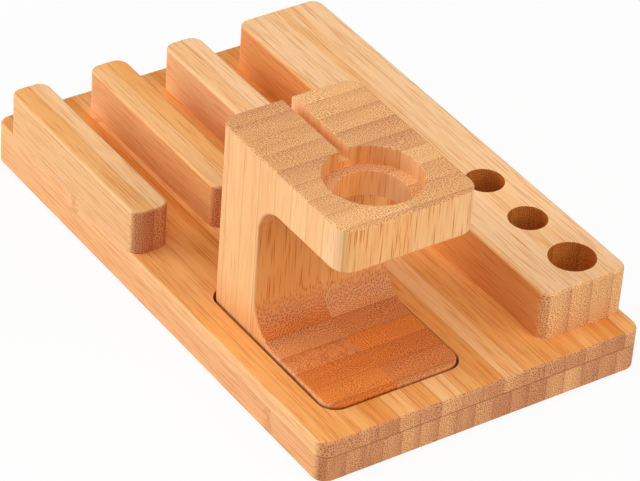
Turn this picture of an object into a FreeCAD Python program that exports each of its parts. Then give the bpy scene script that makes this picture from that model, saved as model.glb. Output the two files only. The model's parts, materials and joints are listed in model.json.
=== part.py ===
import FreeCAD
import Part
import math
import os

# Bamboo desk dock: a two-ply base with three divider rails, a pen block with three blind holes,
# and a C-shaped watch stand that stands loose in a shallow pocket and lifts straight out.
#
# Millimetres. +X runs along the base towards the watch stand's end, +Y from the front rail's
# side to the pen block's side, +Z up. The origin is the centre of the footprint, on the desk.

# ---- driving dimensions -------------------------------------------------------------------
# Base: two glued plies, rounded at the corners and along the outer rims.
LOWER_PLY = 9.3
UPPER_PLY = 5.5
BASE_CORNER_RADIUS = 4.5
RIM_RADIUS = 1.0             # softened rim of every board, rail and block

# Divider rails, counted from the front, and the device slots between them.
RAIL_WIDTH = 13.0
RAIL_HEIGHT = 15.3
RAIL_LENGTH = 77.4
RAIL_END_MARGIN = 8.0        # from the base's left end to the rails
FRONT_SLOT = 15.8
MIDDLE_SLOT = 15.2
REAR_SLOT = 14.5
CORNER_RADIUS = 4.0          # upright corners of the rails and the pen block

# Pen block, flush with the back of the base.
BLOCK_WIDTH = 31.5
BLOCK_HEIGHT = 16.7
BLOCK_END_MARGIN = 9.5
PEN_HOLE_DIAMETERS = (12.5, 12.5, 15.0)
PEN_HOLE_PITCH = 22.65
PEN_HOLE_END_MARGIN = 12.75  # from the block's right end to the last hole's centre
PEN_HOLE_BACK_MARGIN = 12.2  # from the block's back face to the holes' centres
PEN_HOLE_FLOOR = 2.7         # wood left under the holes

# Watch stand: a C cut from one laminated block.
STAND_LENGTH = 65.8
STAND_WIDTH = 47.6
STAND_HEIGHT = 69.1          # from the pocket's floor to the top of the arm
ARM_THICKNESS = 15.1
UPRIGHT_THICKNESS = 24.0
FOOT_PROUD = 1.2             # how far the foot stands above the base
ARM_ROOT_RADIUS = 10.0
FOOT_ROOT_RADIUS = 12.5
STAND_CORNER_RADIUS = 5.5
STAND_RIM_RADIUS = 0.8
HOLE_RIM_RADIUS = 0.25       # softened rims of the pen holes and of the charger hole

# Charger seat in the arm: a round recess, a smaller hole right through, and a cable slot.
RECESS_DIAMETER = 30.0
RECESS_DEPTH = 6.4
RECESS_NOSE_MARGIN = 20.4    # from the arm's nose to the recess centre
CHARGER_HOLE_DIAMETER = 22.4
CABLE_SLOT_WIDTH = 3.6
CABLE_SLOT_DEPTH = 4.4
CABLE_SLOT_FLARE = 1.2       # rounding where the slot opens into the recess
SEAT_RIM_EASE = 0.3          # chamfer along the rims of the recess and the slot

# Pocket for the stand, cut right through the upper ply.
POCKET_CLEARANCE = 0.7       # at each end of the stand
POCKET_SIDE_CLEARANCE = 0.95  # along each side of the stand
POCKET_END_MARGIN = 11.4     # from the pocket to the base's right end
POCKET_FRONT_MARGIN = 9.5    # from the pocket to the base's front
POCKET_TO_RAILS = 26.0

# Countersunk wood screws, driven up through the base.
SCREW_DIAMETER = 3.5
SCREW_HEAD_DIAMETER = 7.0
SCREW_HEAD_HEIGHT = 2.2
SCREW_HEAD_SUNK = 0.6
SCREW_BITE = 10.0            # length in the rail or block
SCREW_TIP = 3.0
SCREW_CLEARANCE = 0.1        # on the diameter
DRIVE_WIDTH = 0.9
DRIVE_SPAN = 3.6
DRIVE_DEPTH = 1.3
RAIL_SCREW_MARGIN = 14.0     # from each end of a rail
BLOCK_SCREW_MARGIN = 16.0    # from the block's left end

# Anti-slip pads stuck under the base.
PAD_DIAMETER = 10.0
PAD_HEIGHT = 1.2
PAD_INSET = 15.0             # pad centre, in from both edges
PAD_RIM_RADIUS = 0.3

# ---- sizes that follow --------------------------------------------------------------------
POCKET_LENGTH = STAND_LENGTH + 2 * POCKET_CLEARANCE
POCKET_WIDTH = STAND_WIDTH + 2 * POCKET_SIDE_CLEARANCE
BASE_LENGTH = RAIL_END_MARGIN + RAIL_LENGTH + POCKET_TO_RAILS + POCKET_LENGTH + POCKET_END_MARGIN
BASE_WIDTH = 3 * RAIL_WIDTH + FRONT_SLOT + MIDDLE_SLOT + REAR_SLOT + BLOCK_WIDTH

LEFT = -BASE_LENGTH / 2
RIGHT = BASE_LENGTH / 2
FRONT = -BASE_WIDTH / 2
BACK = BASE_WIDTH / 2

BASE_BOTTOM = PAD_HEIGHT
PLY_JOINT = BASE_BOTTOM + LOWER_PLY
BASE_TOP = PLY_JOINT + UPPER_PLY

RAIL_LEFT = LEFT + RAIL_END_MARGIN
RAIL_RIGHT = RAIL_LEFT + RAIL_LENGTH
FRONT_RAIL_Y = FRONT
MIDDLE_RAIL_Y = FRONT_RAIL_Y + RAIL_WIDTH + FRONT_SLOT
REAR_RAIL_Y = MIDDLE_RAIL_Y + RAIL_WIDTH + MIDDLE_SLOT
RAILS = {
    "divider_rail_front": FRONT_RAIL_Y,
    "divider_rail_middle": MIDDLE_RAIL_Y,
    "divider_rail_rear": REAR_RAIL_Y,
}

BLOCK_LEFT = LEFT + BLOCK_END_MARGIN
BLOCK_RIGHT = RIGHT - BLOCK_END_MARGIN
BLOCK_FRONT = BACK - BLOCK_WIDTH
BLOCK_TOP = BASE_TOP + BLOCK_HEIGHT
PEN_HOLE_Y = BACK - PEN_HOLE_BACK_MARGIN
LAST_PEN_HOLE_X = BLOCK_RIGHT - PEN_HOLE_END_MARGIN
PEN_HOLES_X = [LAST_PEN_HOLE_X - PEN_HOLE_PITCH * step for step in (2, 1, 0)]

POCKET_RIGHT = RIGHT - POCKET_END_MARGIN
POCKET_LEFT = POCKET_RIGHT - POCKET_LENGTH
POCKET_FRONT = FRONT + POCKET_FRONT_MARGIN
POCKET_BACK = POCKET_FRONT + POCKET_WIDTH
STAND_LEFT = POCKET_LEFT + POCKET_CLEARANCE
STAND_RIGHT = STAND_LEFT + STAND_LENGTH
STAND_FRONT = POCKET_FRONT + POCKET_SIDE_CLEARANCE
STAND_BACK = STAND_FRONT + STAND_WIDTH
STAND_MIDDLE_Y = (STAND_FRONT + STAND_BACK) / 2
STAND_TOP = PLY_JOINT + STAND_HEIGHT
ARM_UNDERSIDE = STAND_TOP - ARM_THICKNESS
FOOT_TOP = BASE_TOP + FOOT_PROUD
UPRIGHT_FACE_X = STAND_LEFT + UPRIGHT_THICKNESS
RECESS_X = STAND_RIGHT - RECESS_NOSE_MARGIN

SCREW_LENGTH = LOWER_PLY + UPPER_PLY - SCREW_HEAD_SUNK + SCREW_BITE
RAIL_SCREWS_X = (RAIL_LEFT + RAIL_SCREW_MARGIN, RAIL_RIGHT - RAIL_SCREW_MARGIN)
BLOCK_SCREWS_X = (
    BLOCK_LEFT + BLOCK_SCREW_MARGIN,
    (BLOCK_LEFT + BLOCK_SCREW_MARGIN + PEN_HOLES_X[0]) / 2,
    (PEN_HOLES_X[0] + PEN_HOLES_X[1]) / 2,
)
RAIL_SCREWS = [(x, y + RAIL_WIDTH / 2) for y in RAILS.values() for x in RAIL_SCREWS_X]
BLOCK_SCREWS = [(x, (BLOCK_FRONT + BACK) / 2) for x in BLOCK_SCREWS_X]

TOLERANCE = 1e-4
EXTRA = 1.0                  # how far a cutting tool runs past a face


# ---- helpers ------------------------------------------------------------------------------
def vector(x, y, z):
    return FreeCAD.Vector(x, y, z)


def box(x0, x1, y0, y1, z0, z1):
    return Part.makeBox(x1 - x0, y1 - y0, z1 - z0, vector(x0, y0, z0))


def cylinder(diameter, x, y, z0, z1):
    return Part.makeCylinder(diameter / 2, z1 - z0, vector(x, y, z0))


def upright_edges(shape):
    """Straight edges that run along Z."""
    edges = []
    for edge in shape.Edges:
        size = edge.BoundBox
        if size.XLength < TOLERANCE and size.YLength < TOLERANCE:
            edges.append(edge)
    return edges


def level_edges(shape, height):
    """Edges that lie in the horizontal plane at this height."""
    edges = []
    for edge in shape.Edges:
        size = edge.BoundBox
        if abs(size.ZMin - height) < TOLERANCE and abs(size.ZMax - height) < TOLERANCE:
            edges.append(edge)
    return edges


def is_round(edge, largest):
    """Whether an edge is a whole circle no wider than this."""
    size = edge.BoundBox
    return edge.isClosed() and size.XLength < largest + TOLERANCE


def rounded_block(x0, x1, y0, y1, z0, z1, radius):
    """A block with its four upright corners rounded."""
    block = box(x0, x1, y0, y1, z0, z1)
    return block.makeFillet(radius, upright_edges(block))


def soften(shape, height, radius=RIM_RADIUS):
    """Round the rim of the horizontal face at this height."""
    return shape.makeFillet(radius, level_edges(shape, height))


# ---- screws and their holes ---------------------------------------------------------------
def screw_outline(diameter, head_diameter):
    """The solid that a countersunk screw fills at the origin, from its flat head up to its tip."""
    head_bottom = BASE_BOTTOM + SCREW_HEAD_SUNK
    tip = head_bottom + SCREW_LENGTH
    outline = [
        vector(0, 0, head_bottom),
        vector(head_diameter / 2, 0, head_bottom),
        vector(diameter / 2, 0, head_bottom + SCREW_HEAD_HEIGHT),
        vector(diameter / 2, 0, tip - SCREW_TIP),
        vector(0, 0, tip),
    ]
    face = Part.Face(Part.makePolygon(outline + outline[:1]))
    return face.revolve(vector(0, 0, 0), vector(0, 0, 1), 360)


def screw(x, y):
    """A wood screw with a cross drive in its head."""
    drive_bottom = BASE_BOTTOM + SCREW_HEAD_SUNK - EXTRA
    drive_top = BASE_BOTTOM + SCREW_HEAD_SUNK + DRIVE_DEPTH
    half_span = DRIVE_SPAN / 2
    half_width = DRIVE_WIDTH / 2
    along = box(-half_span, half_span, -half_width, half_width, drive_bottom, drive_top)
    across = box(-half_width, half_width, -half_span, half_span, drive_bottom, drive_top)
    body = screw_outline(SCREW_DIAMETER, SCREW_HEAD_DIAMETER).cut(along.fuse(across))
    body.translate(vector(x, y, 0))
    return body


def screw_holes(places):
    """The countersunk hole and pilot hole of each screw."""
    head = SCREW_HEAD_DIAMETER + SCREW_CLEARANCE
    mouth = cylinder(head, 0, 0, BASE_BOTTOM - EXTRA, BASE_BOTTOM + SCREW_HEAD_SUNK)
    tool = screw_outline(SCREW_DIAMETER + SCREW_CLEARANCE, head).fuse(mouth)
    holes = []
    for x, y in places:
        hole = tool.copy()
        hole.translate(vector(x, y, 0))
        holes.append(hole)
    return holes


# ---- pieces -------------------------------------------------------------------------------
def base_lower_board():
    board = rounded_block(LEFT, RIGHT, FRONT, BACK, BASE_BOTTOM, PLY_JOINT, BASE_CORNER_RADIUS)
    board = soften(board, BASE_BOTTOM)
    return board.cut(screw_holes(RAIL_SCREWS + BLOCK_SCREWS))


def base_upper_board():
    """The upper ply. Its rim stays square where the front rail and the block stand flush on it."""
    plain = rounded_block(LEFT, RIGHT, FRONT, BACK, PLY_JOINT, BASE_TOP, BASE_CORNER_RADIUS)
    board = soften(plain, BASE_TOP)
    under_rail = box(RAIL_LEFT + CORNER_RADIUS, RAIL_RIGHT - CORNER_RADIUS,
                     FRONT, FRONT + RAIL_WIDTH / 2, PLY_JOINT, BASE_TOP)
    under_block = box(BLOCK_LEFT + CORNER_RADIUS, BLOCK_RIGHT - CORNER_RADIUS,
                      BACK - BLOCK_WIDTH / 2, BACK, PLY_JOINT, BASE_TOP)
    board = board.fuse([under_rail, under_block]).removeSplitter()
    pocket = rounded_block(POCKET_LEFT, POCKET_RIGHT, POCKET_FRONT, POCKET_BACK,
                           PLY_JOINT - EXTRA, BASE_TOP + EXTRA,
                           STAND_CORNER_RADIUS + POCKET_CLEARANCE)
    return board.cut([pocket] + screw_holes(RAIL_SCREWS + BLOCK_SCREWS))


def divider_rail(front):
    top = BASE_TOP + RAIL_HEIGHT
    rail = rounded_block(RAIL_LEFT, RAIL_RIGHT, front, front + RAIL_WIDTH, BASE_TOP, top, CORNER_RADIUS)
    return soften(rail, top).cut(screw_holes(RAIL_SCREWS))


def pen_block():
    block = rounded_block(BLOCK_LEFT, BLOCK_RIGHT, BLOCK_FRONT, BACK, BASE_TOP, BLOCK_TOP, CORNER_RADIUS)
    block = soften(block, BLOCK_TOP)
    floor = BASE_TOP + PEN_HOLE_FLOOR
    pen_holes = [
        cylinder(diameter, x, PEN_HOLE_Y, floor, BLOCK_TOP + EXTRA)
        for diameter, x in zip(PEN_HOLE_DIAMETERS, PEN_HOLES_X)
    ]
    block = block.cut(pen_holes)
    rims = [edge for edge in level_edges(block, BLOCK_TOP) if is_round(edge, max(PEN_HOLE_DIAMETERS))]
    block = block.makeFillet(HOLE_RIM_RADIUS, rims)
    return block.cut(screw_holes(BLOCK_SCREWS))


def stand_blank():
    """The C profile, swept across the stand's width, with rounded upright corners."""
    window = box(UPRIGHT_FACE_X, STAND_RIGHT + EXTRA, STAND_FRONT - EXTRA, STAND_BACK + EXTRA,
                 FOOT_TOP, ARM_UNDERSIDE)
    for height, radius in ((ARM_UNDERSIDE, ARM_ROOT_RADIUS), (FOOT_TOP, FOOT_ROOT_RADIUS)):
        root = [
            edge for edge in level_edges(window, height)
            if edge.BoundBox.XMax < UPRIGHT_FACE_X + TOLERANCE
        ]
        window = window.makeFillet(radius, root)
    blank = rounded_block(STAND_LEFT, STAND_RIGHT, STAND_FRONT, STAND_BACK,
                          PLY_JOINT, STAND_TOP, STAND_CORNER_RADIUS)
    return blank.cut(window)


def window_rim(stand):
    """The loop where the C's inner surface meets the outside."""
    uses = {}
    for face in stand.Faces:
        centre = face.CenterOfMass
        across = face.BoundBox.YLength > TOLERANCE
        right_of_upright = centre.x > UPRIGHT_FACE_X - TOLERANCE
        within_window = FOOT_TOP - TOLERANCE < centre.z < ARM_UNDERSIDE + TOLERANCE
        if across and right_of_upright and within_window:
            for edge in face.Edges:
                uses.setdefault(edge.hashCode(), []).append(edge)
    return [edges[0] for edges in uses.values() if len(edges) == 1]


def seat_outline(height, ease):
    """Closed outline of the recess and its cable slot at this height, grown outwards by the ease.

    The slot runs out past the stand's back, and its mouth opens into the recess on two round flares.
    """
    centre = vector(RECESS_X, STAND_MIDDLE_Y, height)
    radius = RECESS_DIAMETER / 2 + ease
    flare = CABLE_SLOT_FLARE - ease
    half_slot = CABLE_SLOT_WIDTH / 2 + ease
    reach = math.sqrt((radius + flare) ** 2 - (half_slot + flare) ** 2)
    slot_end = STAND_LEFT - EXTRA - RECESS_X
    sides = {}
    for side in (-1, 1):
        flare_centre = centre + vector(-reach, side * (half_slot + flare), 0)
        to_slot = vector(0, -side, 0)
        to_recess = (centre - flare_centre).normalize()
        sides[side] = {
            "end": centre + vector(slot_end, side * half_slot, 0),
            "slot": flare_centre + to_slot * flare,
            "middle": flare_centre + (to_slot + to_recess).normalize() * flare,
            "recess": flare_centre + to_recess * flare,
        }
    front, back = sides[-1], sides[1]
    far_side = centre + vector(radius, 0, 0)
    curves = [
        Part.LineSegment(front["end"], front["slot"]),
        Part.Arc(front["slot"], front["middle"], front["recess"]),
        Part.Arc(front["recess"], far_side, back["recess"]),
        Part.Arc(back["recess"], back["middle"], back["slot"]),
        Part.LineSegment(back["slot"], back["end"]),
        Part.LineSegment(back["end"], front["end"]),
    ]
    return Part.Wire([curve.toShape() for curve in curves])


def charger_seat():
    """What is cut away for the puck and its cable: the slotted recess, its eased rim and the hole."""
    recess_floor = STAND_TOP - RECESS_DEPTH
    slot_floor = STAND_TOP - CABLE_SLOT_DEPTH
    recess = cylinder(RECESS_DIAMETER, RECESS_X, STAND_MIDDLE_Y, recess_floor, STAND_TOP)
    slotted = Part.Face(seat_outline(slot_floor, 0)).extrude(vector(0, 0, STAND_TOP - slot_floor))
    rim = [seat_outline(STAND_TOP - SEAT_RIM_EASE, 0), seat_outline(STAND_TOP, SEAT_RIM_EASE)]
    eased_rim = Part.makeLoft(rim, True, True)
    clear = Part.Face(rim[1]).extrude(vector(0, 0, EXTRA))
    hole = cylinder(CHARGER_HOLE_DIAMETER, RECESS_X, STAND_MIDDLE_Y, ARM_UNDERSIDE - EXTRA, STAND_TOP)
    return [recess, slotted, eased_rim, clear, hole]


def watch_stand():
    stand = stand_blank()
    stand = stand.makeFillet(STAND_RIM_RADIUS, window_rim(stand))
    stand = soften(stand, STAND_TOP, STAND_RIM_RADIUS)
    stand = stand.cut(charger_seat())
    hole_rims = [
        edge for height in (STAND_TOP - RECESS_DEPTH, ARM_UNDERSIDE)
        for edge in level_edges(stand, height) if is_round(edge, CHARGER_HOLE_DIAMETER)
    ]
    return stand.makeFillet(HOLE_RIM_RADIUS, hole_rims)


def foot_pad(x, y):
    pad = cylinder(PAD_DIAMETER, x, y, 0, PAD_HEIGHT)
    return soften(pad, 0, PAD_RIM_RADIUS)


def build_nodes():
    nodes = {
        "base_lower_board": base_lower_board(),
        "base_upper_board": base_upper_board(),
        "pen_block": pen_block(),
        "watch_stand": watch_stand(),
        "rail_screws": Part.makeCompound([screw(x, y) for x, y in RAIL_SCREWS]),
        "pen_block_screws": Part.makeCompound([screw(x, y) for x, y in BLOCK_SCREWS]),
    }
    for name, front in RAILS.items():
        nodes[name] = divider_rail(front)
    for side, y in (("front", FRONT + PAD_INSET), ("rear", BACK - PAD_INSET)):
        for end, x in (("left", LEFT + PAD_INSET), ("right", RIGHT - PAD_INSET)):
            nodes["foot_pad_" + side + "_" + end] = foot_pad(x, y)
    return nodes


os.makedirs("parts", exist_ok=True)
for node_name, node_shape in build_nodes().items():
    node_shape.exportStep("parts/" + node_name + ".step")
    print(node_name, "solids", len(node_shape.Solids), "valid", node_shape.isValid(),
          "volume", round(node_shape.Volume, 1))
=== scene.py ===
"""Bamboo desk dock with a loose watch stand: its finishes, a plain studio and the camera.

Every piece is a CAD node that keeps its shape. Each gets the finish its real material has:
edge-glued bamboo strips rubbed with oil, zinc-plated screws and moulded rubber feet.
"""

import json
import math

import bpy
from mathutils import Matrix, Vector


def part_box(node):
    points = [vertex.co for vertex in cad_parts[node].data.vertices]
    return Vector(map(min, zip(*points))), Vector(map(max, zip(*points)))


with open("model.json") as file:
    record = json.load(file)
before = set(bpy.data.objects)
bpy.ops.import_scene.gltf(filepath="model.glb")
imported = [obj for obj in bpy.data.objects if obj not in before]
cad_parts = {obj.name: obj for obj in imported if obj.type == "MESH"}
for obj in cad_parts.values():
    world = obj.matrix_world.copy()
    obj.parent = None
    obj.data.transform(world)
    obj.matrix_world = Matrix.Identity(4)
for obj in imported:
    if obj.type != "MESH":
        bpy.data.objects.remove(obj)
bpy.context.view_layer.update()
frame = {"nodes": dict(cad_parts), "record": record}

bl_info = {
    "name": "Bamboo desk dock",
    "version": (1, 0, 0),
    "blender": (4, 2, 0),
    "location": "3D View > Sidebar > Desk dock",
    "description": "Finishes for a bamboo desk dock with a watch stand, and a plain studio",
    "category": "Object",
}

MM = 0.001

# Object axes across the glued strips, along a strip's width and along the fibres.
FIBRES_ALONG_X = "YZX"
FIBRES_UPRIGHT = "XYZ"

# How often bamboo's patterns repeat in a millimetre, along those three axes. Real fibre
# bundles are about 0.25 mm across, which is too fine to show, so cut bundles are drawn 0.3 to
# 0.4 mm across, dashes 0.35 mm wide and threads 0.4 mm.
ROW_BENDS = (0.09, 0.09, 0.0)
FIBRE_DRIFTS = (0.06, 0.06, 0.02)
FINE_STREAKS = (1.5, 1.5, 0.06)
BROAD_STREAKS = (0.30, 0.05, 0.010)
DASHES = (1.6, 1.6, 0.05)         # about 15 mm long
THREADS = (1.0, 1.0, 0.02)        # about 30 mm long
SCAR_SWIRLS = 0.55

# Lengths in millimetres. A line's two places are how far from its middle it fades out and
# is full. Real joints are about 0.1 mm wide, and the lines are drawn about 0.4 mm.
ROW_CURVE = 7.0                   # how far a row of bundles leaves a straight line
FIBRE_DRIFT = 1.8                 # how far a fibre wanders
STRIP_SHIFT = 60.0                # how far apart the patterns of two strips may lie
NODE_SPACING = 300.0              # from one node of the culm to the next
SCAR_RAGGED = 12.0                # how raggedly a node's scar crosses its strip
SCAR_REACH = 2.4                  # from the middle of a scar to its edge
JOINT_LINE = (0.30, 0.08)         # where two strips meet
GLUE_LINE = (0.34, 0.12)          # where two boards meet
HOLE_SHADE_REACH = 0.5                # painted shade in a hole is drawn this far past its wall and fades out over this length
HOLE_SHADE_FADE = 0.2                 # and fades out over this length
GAP_SHADE_FADE = 0.15                 # half the height over which the painted shade of the pocket's gap fades
ONE_BOARD = 90.0                  # taller than any piece whose strips lie flat
BELOW_DOCK = -20.0                # where such a board starts
ONE_HOLE = 400.0                  # longer than the dock: the pitch of a single hole

# How far broad streaks, the strips' own luck and the dense wall move a tone, in which 0 is
# pale, 0.5 is middling and 1 is deep.
STREAK_SPREAD = 0.9
STRIP_SPREAD = 0.8
WALL_ON_SIDES = 0.12
WALL_ON_ENDS = 0.35

CAMERA_REACH = 50.0               # how far the camera sees, in metres


def srgb(code):
    """A linear colour with alpha from an sRGB hex code such as #F4B981."""
    channels = [int(code[i:i + 2], 16) / 255 for i in (1, 3, 5)]
    return tuple(c / 12.92 if c <= 0.04045 else ((c + 0.055) / 1.055) ** 2.4
                 for c in channels) + (1.0,)


def add(tree, kind, inputs=(), stops=(), **settings):
    """Adds one node. `inputs` maps a socket to a value or to the socket that feeds it, and
    `stops` are a colour ramp's places and colours."""
    node = tree.nodes.new("ShaderNode" + kind)
    for name, value in settings.items():
        setattr(node, name, value)
    for socket, value in dict(inputs).items():
        if isinstance(value, bpy.types.NodeSocket):
            tree.links.new(value, node.inputs[socket])
        else:
            node.inputs[socket].default_value = value
    for number, (place, colour) in enumerate(stops):
        ramp = node.color_ramp.elements
        stop = ramp[number] if number < 2 else ramp.new(place)
        stop.position = place
        stop.color = colour
    return node


def empty_material(name):
    """A new material and its node tree, with no nodes in it."""
    material = bpy.data.materials.new(name)
    material.use_nodes = True
    material.node_tree.nodes.clear()
    return material, material.node_tree


# ---- sizes and colours a user would change --------------------------------------------------

class BambooLook(bpy.types.PropertyGroup):
    """Bamboo as a laminate shows it: pale soft wood with dark fibre bundles."""
    side_pale: bpy.props.FloatVectorProperty(
        name="Pale side", description="Soft inner wood, planed along the fibres",
        subtype="COLOR", size=4, min=0, max=1, default=srgb("#FFD09C"))
    side_mid: bpy.props.FloatVectorProperty(
        name="Middle side", description="Wood from the middle of the wall, along the fibres",
        subtype="COLOR", size=4, min=0, max=1, default=srgb("#F8B56C"))
    side_deep: bpy.props.FloatVectorProperty(
        name="Deep side", description="Dense outer wood, planed along the fibres",
        subtype="COLOR", size=4, min=0, max=1, default=srgb("#E4903F"))
    end_pale: bpy.props.FloatVectorProperty(
        name="Pale end", description="Soft inner wood, cut across the fibres",
        subtype="COLOR", size=4, min=0, max=1, default=srgb("#FEC484"))
    end_deep: bpy.props.FloatVectorProperty(
        name="Deep end", description="Dense outer wood, cut across the fibres",
        subtype="COLOR", size=4, min=0, max=1, default=srgb("#CB8255"))
    end_cast: bpy.props.FloatVectorProperty(
        name="End cast", description="Brown cast of the cut fibres beside the dense wall",
        subtype="COLOR", size=4, min=0, max=1, default=srgb("#CA875F"))
    bundle: bpy.props.FloatVectorProperty(
        name="Fibre bundle", description="Tint of a fibre bundle that is cut across",
        subtype="COLOR", size=4, min=0, max=1, default=srgb("#955000"))
    fibre: bpy.props.FloatVectorProperty(
        name="Fibre", description="Tint of the fibres that run along a side",
        subtype="COLOR", size=4, min=0, max=1, default=srgb("#D89850"))
    joint: bpy.props.FloatVectorProperty(
        name="Strip joint", description="Thin line where two strips are glued",
        subtype="COLOR", size=4, min=0, max=1, default=srgb("#A8643C"))
    scar: bpy.props.FloatVectorProperty(
        name="Node scar", description="Swirled fibres where a node of the culm was planed",
        subtype="COLOR", size=4, min=0, max=1, default=srgb("#BC6236"))
    glue: bpy.props.FloatVectorProperty(
        name="Glue", description="Glue squeezed out between two boards",
        subtype="COLOR", size=4, min=0, max=1, default=srgb("#8E4E2A"))
    # Painted shade: a deeper orange tint low down on the stand, standing in for the shade under
    # its arm.
    oil: bpy.props.FloatVectorProperty(
        name="Soaked oil", description="Tint where low fibres drank more oil",
        subtype="COLOR", size=4, min=0, max=1, default=srgb("#EEB06E"))
    # Painted shade: a darker tint on what stands below the base's top, standing in for the shade
    # in the pocket's narrow gap.
    gap_shade: bpy.props.FloatVectorProperty(
        name="Pocket stain", description="Tint of wood that stands in an oily pocket",
        subtype="COLOR", size=4, min=0, max=1, default=srgb("#9A6446"))
    # Painted shade: a darker tint on the walls of round holes, standing in for the shade inside
    # them.
    hole_shade: bpy.props.FloatVectorProperty(
        name="Scorched bore", description="Tint on the walls of drilled and milled holes",
        subtype="COLOR", size=4, min=0, max=1, default=srgb("#D6AA66"))
    dashes: bpy.props.FloatProperty(
        name="Fibre dashes", description="How strongly short fibres show along a side",
        subtype="FACTOR", default=0.6, min=0, max=1)
    threads: bpy.props.FloatProperty(
        name="Fibre threads", description="How strongly long dark fibres show along a side",
        subtype="FACTOR", default=0.75, min=0, max=1)
    dots: bpy.props.FloatProperty(
        name="Fibre dots", description="How strongly cut fibres show on an end",
        subtype="FACTOR", default=0.82, min=0, max=1)
    spacing: bpy.props.FloatProperty(
        name="Bundle spacing", description="Distance between neighbouring fibre bundles",
        unit="LENGTH", default=0.65 * MM, min=0.3 * MM, max=3 * MM)
    roughness: bpy.props.FloatProperty(
        name="Oil finish roughness", description="Roughness of the sanded and oiled surface",
        subtype="FACTOR", default=0.52, min=0.1, max=1)


class HardwareLook(bpy.types.PropertyGroup):
    """Screws and feet under the base."""
    zinc: bpy.props.FloatVectorProperty(
        name="Zinc plating", description="Bright zinc on the screws",
        subtype="COLOR", size=4, min=0, max=1, default=srgb("#B9BABD"))
    dull_zinc: bpy.props.FloatVectorProperty(
        name="Dull zinc", description="Cloudy spots in the zinc",
        subtype="COLOR", size=4, min=0, max=1, default=srgb("#9C9EA3"))
    rubber: bpy.props.FloatVectorProperty(
        name="Rubber", description="Moulded rubber of the feet",
        subtype="COLOR", size=4, min=0, max=1, default=srgb("#26262A"))
    dust: bpy.props.FloatVectorProperty(
        name="Dusty rubber", description="Rubber where dust sits in it",
        subtype="COLOR", size=4, min=0, max=1, default=srgb("#3B3A3C"))


class StudioLook(bpy.types.PropertyGroup):
    """Table, light and camera."""
    table_size: bpy.props.FloatProperty(
        name="Table size", description="Side of the pale table the dock stands on",
        unit="LENGTH", default=6.0, min=1.0, max=20.0)
    table: bpy.props.FloatVectorProperty(
        name="Table", description="Pale table and backdrop",
        subtype="COLOR", size=4, min=0, max=1, default=srgb("#F2F1EF"))
    table_white: bpy.props.FloatProperty(
        name="Table whiteness", description="How little of a shadow shows on the table",
        subtype="FACTOR", default=0.93, min=0.0, max=1.0)
    front_energy: bpy.props.FloatProperty(
        name="Front light", description="Power of the soft box on the camera's side",
        unit="POWER", default=5.0, min=0.0, max=100.0)
    front_place: bpy.props.FloatVectorProperty(
        name="Front light's place", description="Middle of the soft box on the camera's side",
        subtype="TRANSLATION", unit="LENGTH", size=3, default=(0.98, -0.75, 0.86))
    left_energy: bpy.props.FloatProperty(
        name="Left light", description="Power of the soft box in front and to the left",
        unit="POWER", default=14.5, min=0.0, max=100.0)
    left_place: bpy.props.FloatVectorProperty(
        name="Left light's place", description="Middle of the soft box to the left",
        subtype="TRANSLATION", unit="LENGTH", size=3, default=(-0.89, -1.07, 0.56))
    right_energy: bpy.props.FloatProperty(
        name="Right light", description="Power of the soft box behind and to the right",
        unit="POWER", default=10.2, min=0.0, max=100.0)
    right_place: bpy.props.FloatVectorProperty(
        name="Right light's place", description="Middle of the soft box to the right",
        subtype="TRANSLATION", unit="LENGTH", size=3, default=(1.06, 0.61, 0.86))
    top_energy: bpy.props.FloatProperty(
        name="Top light", description="Power of the soft box overhead",
        unit="POWER", default=8.0, min=0.0, max=100.0)
    top_place: bpy.props.FloatVectorProperty(
        name="Top light's place", description="Middle of the soft box overhead",
        subtype="TRANSLATION", unit="LENGTH", size=3, default=(0.0, -0.26, 1.48))
    box_size: bpy.props.FloatProperty(
        name="Soft box size", description="Side of each square soft box",
        unit="LENGTH", default=0.9, min=0.1, max=5.0)
    aim_height: bpy.props.FloatProperty(
        name="Light aim", description="Height above the table that the soft boxes face",
        unit="LENGTH", default=30 * MM, min=0.0, max=1.0)
    sky: bpy.props.FloatProperty(
        name="Room light", description="Even light from all round",
        default=0.05, min=0.0, max=2.0)
    azimuth: bpy.props.FloatProperty(
        name="Camera azimuth", description="Camera direction, turned from the front to the right",
        subtype="ANGLE", default=math.radians(53.958))
    elevation: bpy.props.FloatProperty(
        name="Camera elevation", description="Camera height as an angle above the table",
        subtype="ANGLE", default=math.radians(35.857))
    roll: bpy.props.FloatProperty(
        name="Camera roll", description="Camera's turn about its own axis",
        subtype="ANGLE", default=math.radians(4.362))
    target: bpy.props.FloatVectorProperty(
        name="Camera target", description="Point at the middle of the view",
        subtype="TRANSLATION", unit="LENGTH", size=3,
        default=(-5.883 * MM, 8.909 * MM, 1.2 * MM))
    distance: bpy.props.FloatProperty(
        name="Camera distance", description="Distance from the camera to its target",
        unit="LENGTH", default=1139.2 * MM, min=0.1, max=10.0)
    lens: bpy.props.FloatProperty(
        name="Focal length", description="Focal length in mm",
        default=202.99, min=10.0, max=500.0)
    sensor: bpy.props.FloatProperty(
        name="Sensor width", description="Width in mm of the camera's sensor",
        default=36.0, min=10.0, max=100.0)


# ---- bamboo ----------------------------------------------------------------------------------

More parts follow.
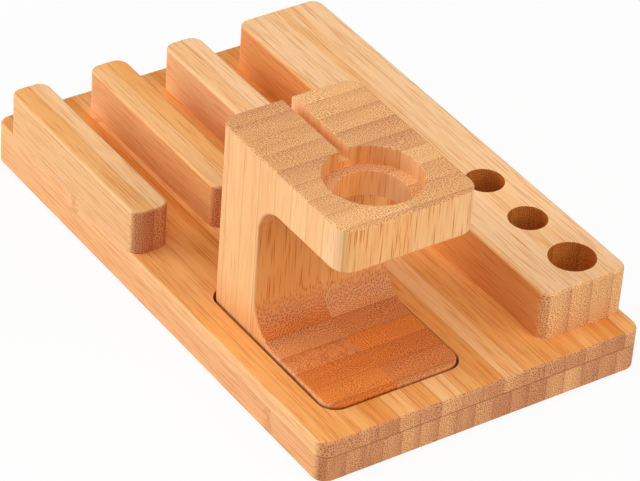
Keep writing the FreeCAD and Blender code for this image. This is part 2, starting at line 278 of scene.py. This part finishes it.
class Grain:
    """How one piece's strips and fibres lie: the sockets that its patterns share."""

    def __init__(self, tree, axes, strip, joint, board, board_joint, outer_side, walls, seed):
        place = add(tree, "TexCoord")
        in_mm = add(tree, "VectorMath", {0: place.outputs["Object"], "Scale": 1 / MM},
                    operation="SCALE")
        xyz = add(tree, "SeparateXYZ", {0: in_mm.outputs[0]})
        across, broad, along = (xyz.outputs["XYZ".index(axis)] for axis in axes)
        cut = add(tree, "CombineXYZ", {0: across, 1: broad, 2: along})
        facing = add(tree, "SeparateXYZ", {0: place.outputs["Normal"]})

        # Which strip and board a point is in, how far across the strip, and its own luck.
        strips = add(tree, "Math", {0: across, 1: 1 / strip, 2: -joint / strip},
                     operation="MULTIPLY_ADD")
        strip_number = add(tree, "Math", {0: strips.outputs[0]}, operation="FLOOR")
        strip_part = add(tree, "Math", {0: strips.outputs[0]}, operation="FRACT")
        boards = add(tree, "Math", {0: broad, 1: 1 / board, 2: -board_joint / board},
                     operation="MULTIPLY_ADD")
        board_number = add(tree, "Math", {0: boards.outputs[0]}, operation="FLOOR")
        strip_id = add(tree, "CombineXYZ", {0: strip_number.outputs[0],
                                            1: board_number.outputs[0],
                                            2: float(seed)})
        chance = add(tree, "TexWhiteNoise", {0: strip_id.outputs[0]}, noise_dimensions="3D")
        luck = add(tree, "SeparateColor", {0: chance.outputs["Color"]})
        own = add(tree, "VectorMath", {0: chance.outputs["Color"], "Scale": STRIP_SHIFT},
                  operation="SCALE")

        # The culm's dense outer wall, on one side of each strip and not equally thick.
        near, far = (0.0, 1.0) if outer_side > 0 else (1.0, 0.0)
        rise = add(tree, "MapRange", {"Value": strip_part.outputs[0], "From Min": near,
                                      "From Max": far})
        steep = add(tree, "Math", {0: rise.outputs[0], 1: 3.0}, operation="POWER")
        wall_share = add(tree, "MapRange", {"Value": luck.outputs[1], "To Min": 0.15 * walls,
                                            "To Max": walls})
        wall = add(tree, "Math", {0: steep.outputs[0], 1: wall_share.outputs[0]},
                   operation="MULTIPLY")

        # Fibres wander slightly along a strip.
        slow = add(tree, "VectorMath", {0: cut.outputs[0], 1: FIBRE_DRIFTS,
                                        2: own.outputs[0]}, operation="MULTIPLY_ADD")
        drift = add(tree, "TexNoise", {"Vector": slow.outputs[0], "Scale": 1.0,
                                       "Detail": 1.0})
        fibre = add(tree, "VectorMath", {0: drift.outputs["Color"], 1: (FIBRE_DRIFT,) * 3,
                                         2: cut.outputs[0]}, operation="MULTIPLY_ADD")
        shifted = add(tree, "VectorMath", {0: fibre.outputs[0], 1: own.outputs[0]})

        # How squarely the fibres are cut: 1 on an end, 0 along a side.
        square = add(tree, "Math", {0: facing.outputs["XYZ".index(axes[2])]},
                     operation="ABSOLUTE")
        end = add(tree, "MapRange", {"Value": square.outputs[0], "From Min": 0.12,
                                     "From Max": 0.70}, interpolation_type="SMOOTHSTEP")
        sideways = add(tree, "Math", {0: facing.outputs[1]}, operation="ABSOLUTE")

        self.xyz = xyz.outputs
        self.broad = broad
        self.along = along
        self.cut = cut.outputs[0]
        self.facing = facing.outputs
        self.strip_part = strip_part.outputs[0]
        self.luck = luck.outputs
        self.own = own.outputs[0]
        self.wall = wall.outputs[0]
        self.fibre = shifted.outputs[0]
        self.end = end.outputs[0]
        self.sideways = sideways.outputs[0]


def bundle_dots(tree, grain, look):
    """Cut fibre bundles: dots in curved rows, larger beside the dense wall."""
    flat = add(tree, "VectorMath", {0: grain.cut, 1: ROW_BENDS, 2: grain.own},
               operation="MULTIPLY_ADD")
    bend = add(tree, "TexNoise", {"Vector": flat.outputs[0], "Scale": 1.0, "Detail": 0.0})
    rows = add(tree, "VectorMath", {0: bend.outputs["Color"],
                                    1: (ROW_CURVE, ROW_CURVE, 0.0), 2: grain.cut},
               operation="MULTIPLY_ADD")
    lattice = add(tree, "VectorMath", {0: rows.outputs[0], "Scale": MM / look.spacing},
                  operation="SCALE")
    cells = add(tree, "TexVoronoi", {"Vector": lattice.outputs[0], "Scale": 1.0,
                                     "Randomness": 0.6}, voronoi_dimensions="2D")
    dot_edge = add(tree, "MapRange", {"Value": grain.wall, "To Min": 0.42, "To Max": 0.52})
    dots = add(tree, "MapRange", {"Value": cells.outputs["Distance"],
                                  "From Min": dot_edge.outputs[0], "From Max": 0.06},
               interpolation_type="SMOOTHSTEP")
    return dots.outputs[0]


def fine_streaks(tree, grain):
    """The finest fibres, which run all along the strips."""
    fine = add(tree, "VectorMath", {0: grain.fibre, 1: FINE_STREAKS}, operation="MULTIPLY")
    streak = add(tree, "TexNoise", {"Vector": fine.outputs[0], "Scale": 1.0,
                                    "Detail": 4.0, "Roughness": 0.6})
    return streak.outputs[0]


def side_fibres(tree, grain, look, fine_streak, streaks, calm):
    """How strongly fibres show along a side: fine streaks, short dashes and a few long
    threads, all fainter where a face along Y is calm."""
    dash_place = add(tree, "VectorMath", {0: grain.fibre, 1: DASHES}, operation="MULTIPLY")
    dashes = add(tree, "TexVoronoi", {"Vector": dash_place.outputs[0], "Scale": 1.0,
                                      "Randomness": 1.0})
    dash = add(tree, "MapRange", {"Value": dashes.outputs["Distance"], "From Min": 0.42,
                                  "From Max": 0.14, "To Max": look.dashes * streaks},
               interpolation_type="SMOOTHSTEP")
    thread_place = add(tree, "VectorMath", {0: grain.fibre, 1: THREADS},
                       operation="MULTIPLY")
    threads = add(tree, "TexVoronoi", {"Vector": thread_place.outputs[0], "Scale": 1.0,
                                       "Randomness": 1.0})
    thread_luck = add(tree, "SeparateColor", {0: threads.outputs["Color"]})
    few = add(tree, "MapRange", {"Value": thread_luck.outputs[0], "From Min": 0.62,
                                 "From Max": 0.9, "To Max": look.threads * streaks})
    thread = add(tree, "MapRange", {"Value": threads.outputs["Distance"], "From Min": 0.32,
                                    "From Max": 0.08, "To Max": few.outputs[0]},
                 interpolation_type="SMOOTHSTEP")
    fine_mask = add(tree, "MapRange", {"Value": fine_streak, "From Min": 0.48,
                                       "From Max": 0.72, "To Max": 0.30 * streaks},
                    interpolation_type="SMOOTHSTEP")
    darker = add(tree, "Math", {0: fine_mask.outputs[0], 1: dash.outputs[0]},
                 operation="MAXIMUM")
    darkest = add(tree, "Math", {0: darker.outputs[0], 1: thread.outputs[0]},
                  operation="MAXIMUM")
    lively = add(tree, "MapRange", {"Value": grain.sideways, "From Min": 0.3,
                                    "From Max": 0.9, "To Min": 1.0, "To Max": 1.0 - calm})
    shown = add(tree, "Math", {0: darkest.outputs[0], 1: lively.outputs[0]},
                operation="MULTIPLY")
    return shown.outputs[0]


def strip_woods(tree, grain, look, contrast, depth, end_depth, painted_y_shading):
    """The wood's colour on a side and on an end, before its fibres: each strip has its own
    tone, with broad streaks in it."""
    wide = add(tree, "VectorMath", {0: grain.fibre, 1: BROAD_STREAKS}, operation="MULTIPLY")
    wide_streak = add(tree, "TexNoise", {"Vector": wide.outputs[0], "Scale": 1.0,
                                         "Detail": 2.0})
    lowest = 0.5 - (STREAK_SPREAD + STRIP_SPREAD) / 2 * contrast + depth
    streaky = add(tree, "Math", {0: wide_streak.outputs[0], 1: STREAK_SPREAD * contrast,
                                 2: lowest}, operation="MULTIPLY_ADD")
    strip_tone = add(tree, "Math", {0: grain.luck[0], 1: STRIP_SPREAD * contrast,
                                    2: streaky.outputs[0]}, operation="MULTIPLY_ADD")
    side_tone = add(tree, "Math", {0: grain.wall, 1: WALL_ON_SIDES,
                                   2: strip_tone.outputs[0]}, operation="MULTIPLY_ADD")
    end_tone = add(tree, "Math", {0: grain.wall, 1: WALL_ON_ENDS,
                                  2: strip_tone.outputs[0]}, operation="MULTIPLY_ADD")
    end_level = add(tree, "Math", {0: end_tone.outputs[0], 1: end_depth})
    side_wood = add(tree, "ValToRGB", {0: side_tone.outputs[0]},
                    stops=((0.1, look.side_pale), (0.9, look.side_deep),
                           (0.5, look.side_mid)))
    end_wood = add(tree, "ValToRGB", {0: end_level.outputs[0]},
                   stops=((0.0, look.end_pale), (1.0, look.end_deep)))

    # Painted light and shade: faces along Y are drawn paler, as if lit more, or deeper, as if in
    # shade, where the factor is negative.
    y_shading_share = add(tree, "MapRange", {"Value": grain.sideways, "From Min": 0.3,
                                 "From Max": 0.9, "To Max": abs(painted_y_shading)})
    side = add(tree, "Mix", {0: y_shading_share.outputs[0], 6: side_wood.outputs[0],
                             7: tuple(look.side_pale if painted_y_shading > 0 else look.side_deep)},
               data_type="RGBA")

    # Ends have a brown cast beside the dense wall and in some strips.
    brown = add(tree, "Math", {0: grain.luck[1], 1: 0.30, 2: grain.wall},
                operation="MULTIPLY_ADD")
    brown_part = add(tree, "MapRange", {"Value": brown.outputs[0], "From Max": 1.3,
                                        "To Max": 0.7})
    end = add(tree, "Mix", {0: brown_part.outputs[0], 6: end_wood.outputs[0],
                            7: tuple(look.end_cast)}, data_type="RGBA")
    return side.outputs[2], end.outputs[2]


def strip_joints(tree, grain, look, strip, wood):
    """A thin darker line where two strips meet."""
    fades, full = JOINT_LINE
    to_joint = add(tree, "Math", {0: grain.strip_part, 1: 0.5}, operation="PINGPONG")
    line = add(tree, "MapRange", {"Value": to_joint.outputs[0], "From Min": fades / strip,
                                  "From Max": full / strip, "To Max": 0.30})
    lined = add(tree, "Mix", {0: line.outputs[0], 6: wood, 7: tuple(look.joint)},
                data_type="RGBA")
    return lined.outputs[2]


def node_scars(tree, grain, look, wood):
    """Fibres swirl in a ragged reddish scar at each node of the culm. Half the scars are
    planed away, so a strip shows one every second node."""
    swirl = add(tree, "TexNoise", {"Vector": grain.cut, "Scale": SCAR_SWIRLS, "Detail": 3.0,
                                   "Roughness": 0.7})
    node_place = add(tree, "Math", {0: grain.luck[2], 1: 2 * NODE_SPACING, 2: grain.along},
                     operation="MULTIPLY_ADD")
    ragged = add(tree, "Math", {0: swirl.outputs[0], 1: SCAR_RAGGED,
                                2: node_place.outputs[0]}, operation="MULTIPLY_ADD")
    off_node = add(tree, "Math", {0: ragged.outputs[0], 1: NODE_SPACING},
                   operation="PINGPONG")
    scar = add(tree, "MapRange", {"Value": off_node.outputs[0], "From Min": SCAR_REACH,
                                  "From Max": 0.0, "To Max": 0.42},
               interpolation_type="SMOOTHSTEP")
    scarred = add(tree, "Mix", {0: scar.outputs[0], 6: wood, 7: tuple(look.scar)},
                  data_type="RGBA")
    return scarred.outputs[2]


def glue_line(tree, grain, look, glue_at, wood):
    """Glue squeezed out between two boards. It shows best on the ends."""
    fades, full = GLUE_LINE
    off_glue = add(tree, "Math", {0: grain.broad, 1: glue_at}, operation="SUBTRACT")
    from_glue = add(tree, "Math", {0: off_glue.outputs[0]}, operation="ABSOLUTE")
    glue = add(tree, "MapRange", {"Value": from_glue.outputs[0], "From Min": fades,
                                  "From Max": full, "To Max": 0.6})
    on_end = add(tree, "MapRange", {"Value": grain.end, "To Min": 0.25})
    line = add(tree, "Math", {0: glue.outputs[0], 1: on_end.outputs[0]},
               operation="MULTIPLY")
    glued = add(tree, "Mix", {0: line.outputs[0], 6: wood, 7: tuple(look.glue)},
                data_type="RGBA")
    return glued.outputs[2]


def painted_low_shade(tree, grain, look, low_shade_span, wood):
    """Painted shade: low down along the fibres, a deeper orange tint stands in for the shade
    under the stand's arm. It is weaker on the faces along Y and differs from strip to strip.
    """
    full, gone = low_shade_span
    low = add(tree, "MapRange", {"Value": grain.along, "From Min": gone,
                                 "From Max": full}, interpolation_type="SMOOTHSTEP")
    off_y_faces = add(tree, "MapRange", {"Value": grain.sideways, "From Min": 0.4,
                                    "From Max": 0.9, "To Min": 1.0, "To Max": 0.25})
    strip_share = add(tree, "MapRange", {"Value": grain.luck[1], "To Min": 1.0, "To Max": 0.5})
    low_share = add(tree, "Math", {0: low.outputs[0], 1: off_y_faces.outputs[0]},
                  operation="MULTIPLY")
    shade_share = add(tree, "Math", {0: low_share.outputs[0], 1: strip_share.outputs[0]},
              operation="MULTIPLY")
    low_shaded = add(tree, "Mix", {0: shade_share.outputs[0], 6: wood, 7: tuple(look.oil)},
                data_type="RGBA", blend_type="MULTIPLY")
    return low_shaded.outputs[2]


def painted_gap_shade(tree, grain, look, sunk, wood):
    """Painted shade: a darker tint on a piece below the place where it stands in the pocket,
    standing in for the shade in the narrow gap around it.
    """
    gap_shade = add(tree, "MapRange", {"Value": grain.along, "From Min": sunk + GAP_SHADE_FADE,
                                   "From Max": sunk - GAP_SHADE_FADE, "To Max": 0.6})
    gap_shaded = add(tree, "Mix", {0: gap_shade.outputs[0], 6: wood, 7: tuple(look.gap_shade)},
                  data_type="RGBA", blend_type="MULTIPLY")
    return gap_shaded.outputs[2]


def painted_hole_shade(tree, grain, look, bores, wood):
    """Painted shade: a darker tint on the walls of upright round holes, which stand in a row
    along X, stands in for the shade inside them.
    """
    first_x, holes_y, pitch, reach, shade_strength = bores
    from_first = add(tree, "Math", {0: grain.xyz[0], 1: first_x}, operation="SUBTRACT")
    not_before = add(tree, "Math", {0: from_first.outputs[0], 1: -pitch / 2},
                     operation="MAXIMUM")
    off_x = add(tree, "Math", {0: not_before.outputs[0], 1: pitch / 2},
                operation="PINGPONG")
    off_y = add(tree, "Math", {0: grain.xyz[1], 1: holes_y}, operation="SUBTRACT")
    off_axis = add(tree, "CombineXYZ", {0: off_x.outputs[0], 1: off_y.outputs[0]})
    radius = add(tree, "VectorMath", {0: off_axis.outputs[0]}, operation="LENGTH")
    inside = add(tree, "MapRange", {"Value": radius.outputs["Value"],
                                    "From Min": reach + HOLE_SHADE_FADE, "From Max": reach})
    upright = add(tree, "Math", {0: grain.facing[2]}, operation="ABSOLUTE")
    in_wall = add(tree, "MapRange", {"Value": upright.outputs[0], "From Min": 0.7,
                                     "From Max": 0.3, "To Max": shade_strength})
    hole_shade = add(tree, "Math", {0: inside.outputs[0], 1: in_wall.outputs[0]},
                 operation="MULTIPLY")
    hole_shaded = add(tree, "Mix", {0: hole_shade.outputs[0], 6: wood, 7: tuple(look.hole_shade)},
                   data_type="RGBA", blend_type="MULTIPLY")
    return hole_shaded.outputs[2]


def laminated_bamboo(name, look, axes, strip, joint, seed, board=ONE_BOARD,
                     board_joint=BELOW_DOCK, outer_side=1, walls=1.0, streaks=1.0, calm=0.0,
                     contrast=1.0, depth=0.0, end_depth=0.0, painted_y_shading=0.0, glue_at=None,
                     low_shade_span=None, sunk=None, bores=None):
    """Moso bamboo, sawn into strips, glued edge to edge, sanded and rubbed with oil.

    To the eye: pale straight-grained bands with short reddish fibre dashes along the grain,
    and on a cut end fine dark dots in curved rows, with a darker, browner edge on one side
    of each strip where the culm's dense outer wall was.
    `axes` names the object axes across the glued strips, along a strip's width and along the
    fibres. All lengths are in millimetres: `strip` is a strip's thickness and `joint` the
    place of one joint, `board` and `board_joint` the same along a strip's width. `seed`
    deals out pale and deep strips. The dense wall is on the far side of each strip, or on
    the near side if `outer_side` is -1, and `walls` says how strongly it shows.
    `streaks` scales the fibres along the sides, `calm` weakens them on the faces along Y
    and `contrast` scales how much strips differ.
    `depth` and `end_depth` deepen the tone of the sides and ends, and `painted_y_shading` paints
    light
    and shade on the faces that look along Y: paler as if lit more, or deeper as if in shade
    where it is negative. `glue_at` is the place of a glue line along the strips' width,
    `low_shade_span` gives the two places along the fibres between which a painted shade, a deeper
    tint low down, fades out, `sunk` the place along the fibres below which a painted shade
    darkens the piece where it stands in a pocket, and `bores` the first hole's X, the holes'
    Y, their pitch, their reach and how strongly a painted shade darkens their walls.
    """
    material, tree = empty_material(name)
    grain = Grain(tree, axes, strip, joint, board, board_joint, outer_side, walls, seed)
    dots = bundle_dots(tree, grain, look)
    fine_streak = fine_streaks(tree, grain)
    side_wood, end_wood = strip_woods(tree, grain, look, contrast, depth, end_depth, painted_y_shading)
    fibres = side_fibres(tree, grain, look, fine_streak, streaks, calm)
    threaded = add(tree, "Mix", {0: fibres, 6: side_wood, 7: tuple(look.fibre)},
                   data_type="RGBA", blend_type="MULTIPLY")
    wood = add(tree, "Mix", {0: grain.end, 6: threaded.outputs[2], 7: end_wood},
               data_type="RGBA")

    # Dots show strongly on ends and only faintly on sides.
    dot_show = add(tree, "MapRange", {"Value": grain.end, "To Min": 0.06,
                                      "To Max": look.dots})
    dot_mask = add(tree, "Math", {0: dots, 1: dot_show.outputs[0]}, operation="MULTIPLY")
    dotted = add(tree, "Mix", {0: dot_mask.outputs[0], 6: wood.outputs[2],
                               7: tuple(look.bundle)}, data_type="RGBA",
                 blend_type="MULTIPLY")
    colour = strip_joints(tree, grain, look, strip, dotted.outputs[2])
    colour = node_scars(tree, grain, look, colour)
    # Glue lines are the wood's own colour; the low tint, the pocket's tint and the holes' tint
    # are painted shade.
    for mark, place in ((glue_line, glue_at), (painted_low_shade, low_shade_span), (painted_gap_shade, sunk),
                        (painted_hole_shade, bores)):
        if place is not None:
            colour = mark(tree, grain, look, place, colour)

    # Fine fibres stand a little proud and cut bundles lie a little low.
    relief = add(tree, "Math", {0: dots, 1: -0.5, 2: fine_streak},
                 operation="MULTIPLY_ADD")
    bump = add(tree, "Bump", {"Strength": 0.25, "Distance": 0.05 * MM,
                              "Height": relief.outputs[0]})
    shine = add(tree, "MapRange", {"Value": fine_streak,
                                   "To Min": look.roughness - 0.06,
                                   "To Max": look.roughness + 0.1})
    shader = add(tree, "BsdfPrincipled", {"Base Color": colour,
                                          "Roughness": shine.outputs[0], "IOR": 1.5,
                                          "Specular IOR Level": 0.2,
                                          "Normal": bump.outputs[0]})
    add(tree, "OutputMaterial", {0: shader.outputs[0]})
    return material


# ---- screws and feet -------------------------------------------------------------------------

def zinc_plated_steel(name, look):
    """Carbon steel screw, cold headed and bright zinc plated: a soft bluish grey shine with
    cloudy spots of about 1 mm."""
    material, tree = empty_material(name)
    place = add(tree, "TexCoord")
    cloud = add(tree, "TexNoise", {"Vector": place.outputs["Object"], "Scale": 0.9 / MM,
                                   "Detail": 3.0})
    shade = add(tree, "ValToRGB", {0: cloud.outputs[0]},
                stops=((0.3, tuple(look.dull_zinc)), (0.75, tuple(look.zinc))))
    shine = add(tree, "MapRange", {"Value": cloud.outputs[0], "To Min": 0.22, "To Max": 0.42})
    bump = add(tree, "Bump", {"Strength": 0.2, "Distance": 0.02 * MM,
                              "Height": cloud.outputs[0]})
    shader = add(tree, "BsdfPrincipled", {"Base Color": shade.outputs[0], "Metallic": 1.0,
                                          "Roughness": shine.outputs[0],
                                          "Normal": bump.outputs[0]})
    add(tree, "OutputMaterial", {0: shader.outputs[0]})
    return material


def moulded_rubber(name, look):
    """Black nitrile rubber foot, compression moulded: matt, with a fine pebbled skin that is
    a little greyer where dust sits in it."""
    material, tree = empty_material(name)
    place = add(tree, "TexCoord")
    # Real pebbles are about 0.15 mm across. They are drawn 0.4 mm across so that they show.
    pebble = add(tree, "TexVoronoi", {"Vector": place.outputs["Object"],
                                      "Scale": 1 / (0.4 * MM)})
    dust = add(tree, "TexNoise", {"Vector": place.outputs["Object"], "Scale": 0.4 / MM,
                                  "Detail": 3.0})
    shade = add(tree, "Mix", {0: dust.outputs[0], 6: tuple(look.rubber),
                              7: tuple(look.dust)}, data_type="RGBA")
    bump = add(tree, "Bump", {"Strength": 0.4, "Distance": 0.05 * MM,
                              "Height": pebble.outputs["Distance"]})
    shine = add(tree, "MapRange", {"Value": dust.outputs[0], "To Min": 0.7, "To Max": 0.9})
    shader = add(tree, "BsdfPrincipled", {"Base Color": shade.outputs[2],
                                          "Roughness": shine.outputs[0], "IOR": 1.5,
                                          "Normal": bump.outputs[0]})
    add(tree, "OutputMaterial", {0: shader.outputs[0]})
    return material


# ---- the dock's pieces -----------------------------------------------------------------------

def dress(node_name, material):
    """Gives a CAD node its finish in every one of its slots."""
    piece = frame["nodes"].get(node_name)
    if piece is None:
        raise RuntimeError("the frame has no node " + node_name)
    for slot in piece.material_slots:
        slot.material = material


def named(places, name):
    """One of the record's mounts or openings."""
    for place in places:
        if place["name"] == name:
            return place
    raise RuntimeError("the record has no place named " + name)


def hole_axis(name):
    """The X and Y of a pen hole's axis, in mm."""
    opening = named(frame["record"]["physics"]["openings"], name)
    low, high = opening["box_m"]
    return [(low[axis] + high[axis]) / 2 / MM for axis in (0, 1)]


# ---- operators: one for each group of like pieces --------------------------------------------

class DOCK_OT_base_boards(bpy.types.Operator):
    """Finishes the two glued boards of the base"""
    bl_idname = "dock.base_boards"
    bl_label = "Base boards"

    def execute(self, context):
        look = context.scene.dock_bamboo
        glue_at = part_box("base_upper_board")[0][2] / MM
        # The boards' faces along Y are drawn paler: painted light.
        dress("base_upper_board", laminated_bamboo(
            "bamboo_ply_upper", look, FIBRES_ALONG_X, strip=7.5, joint=21.6, seed=1,
            walls=0.8, contrast=0.7, depth=0.1, painted_y_shading=0.5, glue_at=glue_at))
        dress("base_lower_board", laminated_bamboo(
            "bamboo_ply_lower", look, FIBRES_ALONG_X, strip=6.55, joint=3.2, seed=2,
            walls=0.8, contrast=0.75, painted_y_shading=0.5, glue_at=glue_at))
        return {"FINISHED"}


class DOCK_OT_divider_rails(bpy.types.Operator):
    """Finishes the three divider rails"""
    bl_idname = "dock.divider_rails"
    bl_label = "Divider rails"

    def execute(self, context):
        look = context.scene.dock_bamboo
        # The last column paints light on the faces along Y: paler on the front rail.
        for place, seed, depth, painted_y_shading in (("front", 3, -0.1, 0.5),
                                           ("middle", 4, -0.05, 0.0),
                                           ("rear", 5, -0.45, 0.0)):
            # Two strips make up a rail, from a joint just in front of its front face. Its
            # ends are equally deep in all three.
            front_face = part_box("divider_rail_" + place)[0][1] / MM
            dress("divider_rail_" + place, laminated_bamboo(
                "bamboo_rail_" + place, look, FIBRES_ALONG_X, strip=6.9,
                joint=front_face - 0.2, seed=seed, contrast=0.6, depth=depth,
                end_depth=0.35 - depth, painted_y_shading=painted_y_shading))
        return {"FINISHED"}


class DOCK_OT_pen_block(bpy.types.Operator):
    """Finishes the pen block"""
    bl_idname = "dock.pen_block"
    bl_label = "Pen block"

    def execute(self, context):
        first_x, holes_y = hole_axis("pen_hole_left")
        pitch = hole_axis("pen_hole_middle")[0] - first_x
        widest_radius = 7.5
        # The faces along Y are drawn deeper, as painted shade, and the pen holes' walls get
        # painted shade.
        dress("pen_block", laminated_bamboo(
            "bamboo_pen_block", context.scene.dock_bamboo, FIBRES_ALONG_X, strip=7.8,
            joint=36.3, seed=6, walls=0.8, contrast=0.7, depth=-0.52, painted_y_shading=-0.7,
            bores=(first_x, holes_y, pitch, widest_radius + HOLE_SHADE_REACH, 0.95)))
        return {"FINISHED"}


class DOCK_OT_watch_stand(bpy.types.Operator):
    """Finishes the watch stand, whose fibres stand upright"""
    bl_idname = "dock.watch_stand"
    bl_label = "Watch stand"

    def execute(self, context):
        base_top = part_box("base_upper_board")[1][2] / MM
        seat = named(frame["record"]["mounts"], "charger_recess")
        seat_x, seat_y, _ = (place / MM for place in seat["pos_m"])
        seat_radius = seat["dims"]["r_mm"]
        # Painted shade on the foot under the arm: full just above the base's top, gone 14 mm
        # higher. The faces along Y are drawn paler as painted light, and the pocket's gap and the
        # charger recess get painted shade.
        shade_full, shade_gone = base_top + 1.6, base_top + 14.0
        dress("watch_stand", laminated_bamboo(
            "bamboo_watch_stand", context.scene.dock_bamboo, FIBRES_UPRIGHT, strip=8.25,
            joint=56.4, seed=7, board=24.0, board_joint=seat_y, outer_side=-1, walls=0.6,
            streaks=1.5, calm=0.65, contrast=0.6, depth=-0.1, end_depth=-0.2, painted_y_shading=0.45,
            low_shade_span=(shade_full, shade_gone), sunk=base_top,
            bores=(seat_x, seat_y, ONE_HOLE, seat_radius + HOLE_SHADE_REACH, 0.3)))
        return {"FINISHED"}


class DOCK_OT_screws(bpy.types.Operator):
    """Finishes the countersunk screws under the base"""
    bl_idname = "dock.screws"
    bl_label = "Screws"

    def execute(self, context):
        zinc = zinc_plated_steel("zinc_plated_screw_steel", context.scene.dock_hardware)
        dress("rail_screws", zinc)
        dress("pen_block_screws", zinc)
        return {"FINISHED"}


class DOCK_OT_foot_pads(bpy.types.Operator):
    """Finishes the four rubber feet"""
    bl_idname = "dock.foot_pads"
    bl_label = "Foot pads"

    def execute(self, context):
        rubber = moulded_rubber("moulded_nitrile_rubber", context.scene.dock_hardware)
        for corner in ("front_left", "front_right", "rear_left", "rear_right"):
            dress("foot_pad_" + corner, rubber)
        return {"FINISHED"}


class DOCK_OT_studio(bpy.types.Operator):
    """Sets up the pale table, the soft lights and the camera"""
    bl_idname = "dock.studio"
    bl_label = "Studio"

    def execute(self, context):
        studio = context.scene.dock_studio
        bpy.ops.object.select_all(action="DESELECT")
        bpy.ops.mesh.primitive_plane_add(size=studio.table_size, location=(0, 0, 0))
        table = context.object
        table.name = "table"
        table.data.materials.append(self.white_table(studio))
        self.white_room(context.scene, studio)
        self.soft_light("front", studio.front_energy, studio.front_place, studio)
        self.soft_light("left", studio.left_energy, studio.left_place, studio)
        self.soft_light("right", studio.right_energy, studio.right_place, studio)
        self.soft_light("top", studio.top_energy, studio.top_place, studio)
        self.camera(context.scene, studio)
        return {"FINISHED"}

    def seen(self, tree):
        """1 for what the camera sees, directly, in a reflection or through glass."""
        light_path = add(tree, "LightPath")
        mirrored = add(tree, "Math", {0: light_path.outputs["Is Camera Ray"],
                                      1: light_path.outputs["Is Glossy Ray"]},
                       operation="MAXIMUM")
        both = add(tree, "Math", {0: mirrored.outputs[0],
                                  1: light_path.outputs["Is Transmission Ray"]},
                   operation="MAXIMUM")
        return both.outputs[0]

    def white_table(self, studio):
        """Matt laminate table top, lit evenly: white, with only a soft shadow on it."""
        material, tree = empty_material("matt_white_laminate")
        top = add(tree, "BsdfDiffuse", {"Color": tuple(studio.table)})
        glow = add(tree, "Emission", {"Color": (1, 1, 1, 1), "Strength": 1.0})
        share = add(tree, "Math", {0: self.seen(tree), 1: studio.table_white},
                    operation="MULTIPLY")
        mixed = add(tree, "MixShader", {0: share.outputs[0], 1: top.outputs[0],
                                        2: glow.outputs[0]})
        add(tree, "OutputMaterial", {0: mixed.outputs[0]})
        return material

    def white_room(self, scene, studio):
        """An even white room around the table."""
        world = bpy.data.worlds.new("white_room")
        world.use_nodes = True
        tree = world.node_tree
        tree.nodes.clear()
        level = add(tree, "MapRange", {"Value": self.seen(tree), "To Min": studio.sky,
                                       "To Max": 1.0})
        room = add(tree, "Background", {"Color": (1, 1, 1, 1), "Strength": level.outputs[0]})
        add(tree, "OutputWorld", {0: room.outputs[0]})
        scene.world = world

    def soft_light(self, name, energy, place, studio):
        """A square soft box that faces the dock."""
        aim = Vector((0.0, 0.0, studio.aim_height)) - Vector(place)
        bpy.ops.object.light_add(type="AREA", location=place,
                                 rotation=aim.to_track_quat("-Z", "Y").to_euler())
        lamp = bpy.context.object
        lamp.name = name
        lamp.data.shape = "SQUARE"
        lamp.data.size = studio.box_size
        lamp.data.energy = energy

    def camera(self, scene, studio):
        """A long lens that looks down at the near right corner, rolled by a few degrees."""
        flat = math.cos(studio.elevation)
        back = Vector((math.sin(studio.azimuth) * flat, -math.cos(studio.azimuth) * flat,
                       math.sin(studio.elevation)))
        right = Vector((0, 0, 1)).cross(back).normalized()
        upright = back.cross(right)
        turn = Matrix((right, upright, back)).transposed() @ Matrix.Rotation(
            studio.roll, 3, "Z")
        bpy.ops.object.camera_add(location=Vector(studio.target) + back * studio.distance,
                                  rotation=turn.to_euler())
        view = bpy.context.object
        view.name = "camera"
        view.data.sensor_fit = "HORIZONTAL"
        view.data.sensor_width = studio.sensor
        view.data.lens = studio.lens
        view.data.clip_end = CAMERA_REACH
        scene.camera = view
        scene.view_settings.view_transform = "Standard"


class DOCK_PT_panel(bpy.types.Panel):
    """Lists the dock's pieces and its studio"""
    bl_idname = "DOCK_PT_panel"
    bl_label = "Desk dock"
    bl_space_type = "VIEW_3D"
    bl_region_type = "UI"
    bl_category = "Desk dock"

    def draw(self, context):
        layout = self.layout
        for look in (context.scene.dock_bamboo, context.scene.dock_hardware,
                     context.scene.dock_studio):
            box = layout.box()
            for name in look.__annotations__:
                box.prop(look, name)
        for operator in OPERATORS:
            layout.operator(operator.bl_idname)


LOOKS = (BambooLook, HardwareLook, StudioLook)
OPERATORS = (DOCK_OT_base_boards, DOCK_OT_divider_rails, DOCK_OT_pen_block,
             DOCK_OT_watch_stand, DOCK_OT_screws, DOCK_OT_foot_pads, DOCK_OT_studio)


def register():
    for item in LOOKS + OPERATORS + (DOCK_PT_panel,):
        bpy.utils.register_class(item)
    bpy.types.Scene.dock_bamboo = bpy.props.PointerProperty(type=BambooLook)
    bpy.types.Scene.dock_hardware = bpy.props.PointerProperty(type=HardwareLook)
    bpy.types.Scene.dock_studio = bpy.props.PointerProperty(type=StudioLook)


def unregister():
    del bpy.types.Scene.dock_bamboo
    del bpy.types.Scene.dock_hardware
    del bpy.types.Scene.dock_studio
    for item in reversed(LOOKS + OPERATORS + (DOCK_PT_panel,)):
        bpy.utils.unregister_class(item)


def main():
    register()
    bpy.ops.dock.base_boards()
    bpy.ops.dock.divider_rails()
    bpy.ops.dock.pen_block()
    bpy.ops.dock.watch_stand()
    bpy.ops.dock.screws()
    bpy.ops.dock.foot_pads()
    bpy.ops.dock.studio()


if __name__ == "__main__":
    main()
